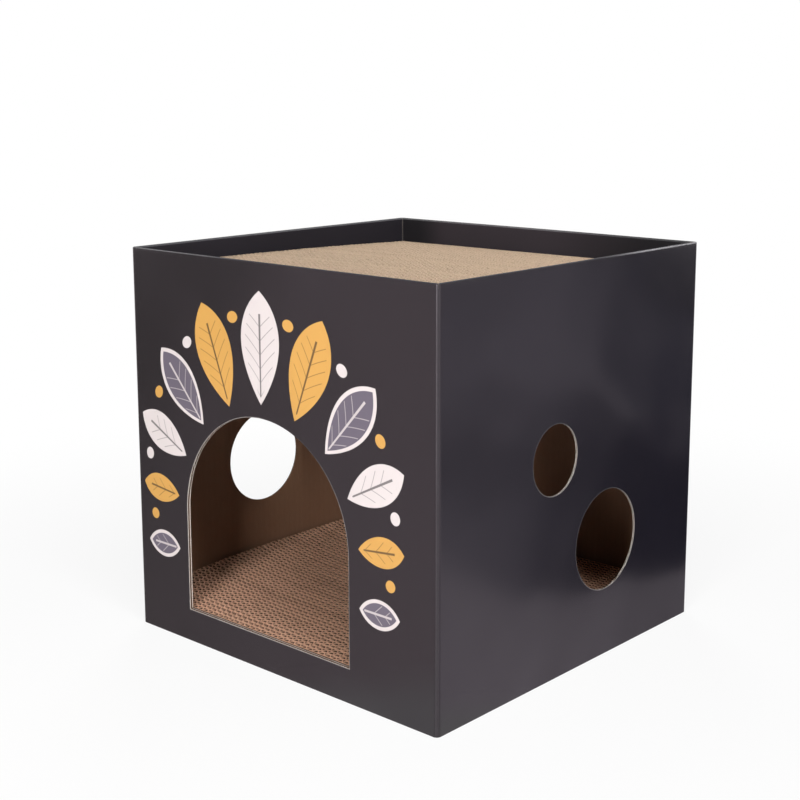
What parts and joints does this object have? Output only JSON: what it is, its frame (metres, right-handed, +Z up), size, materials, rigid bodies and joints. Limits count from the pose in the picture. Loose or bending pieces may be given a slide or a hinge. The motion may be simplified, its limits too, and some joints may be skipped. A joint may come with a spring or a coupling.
{
  "type": "cat condo",
  "caption": "Cube-shaped cat house of corrugated board with an arched door, round portholes, a folded rim, and loose scratching pads on its deck and floor.",
  "frame": {"origin": "middle of the base, on the surface that the house stands on", "axes": "+Z up, -Y out through the door, +X to the right of someone facing the door"},
  "size_m": [0.4, 0.402, 0.39],
  "materials": {
    "printed_board": "charcoal print under a gloss varnish",
    "kraft_board": "bare kraft liner",
    "pad_board": "cut edges of corrugated strips"
  },
  "bodies": {
    "house": {"front_panel": "printed_board", "right_panel": "printed_board", "back_panel": "printed_board", "left_panel": "printed_board", "glue_flap": "kraft_board", "front_rim": "printed_board", "right_rim": "printed_board", "back_rim": "printed_board", "left_rim": "printed_board", "left_floor_flap": "kraft_board", "right_floor_flap": "kraft_board", "deck_board": "kraft_board", "front_left_leg": "kraft_board", "front_right_leg": "kraft_board", "back_left_leg": "kraft_board", "back_right_leg": "kraft_board"},
    "front_flap": {"front_floor_flap": "kraft_board"},
    "back_flap": {"back_floor_flap": "kraft_board"},
    "top_pad": {"top_pad": "pad_board"},
    "bottom_pad": {"bottom_pad": "pad_board"}
  },
  "joints": [
    {"name": "top_pad_lift", "type": "slide", "parent": "house", "child": "top_pad", "axis": [0, 0, 1], "range_m": [0, 0.1]},
    {"name": "bottom_pad_lift", "type": "slide", "parent": "house", "child": "bottom_pad", "axis": [0, 0, 1], "range_m": [0, 0.28]},
    {"name": "front_flap_fold", "type": "hinge", "parent": "house", "child": "front_flap", "pos_m": [0, -0.1947, 0.002], "axis": [-1, 0, 0], "range_deg": [0, 90]},
    {"name": "back_flap_fold", "type": "hinge", "parent": "house", "child": "back_flap", "pos_m": [0, 0.1947, 0.002], "axis": [1, 0, 0], "range_deg": [0, 90]}
  ]
}
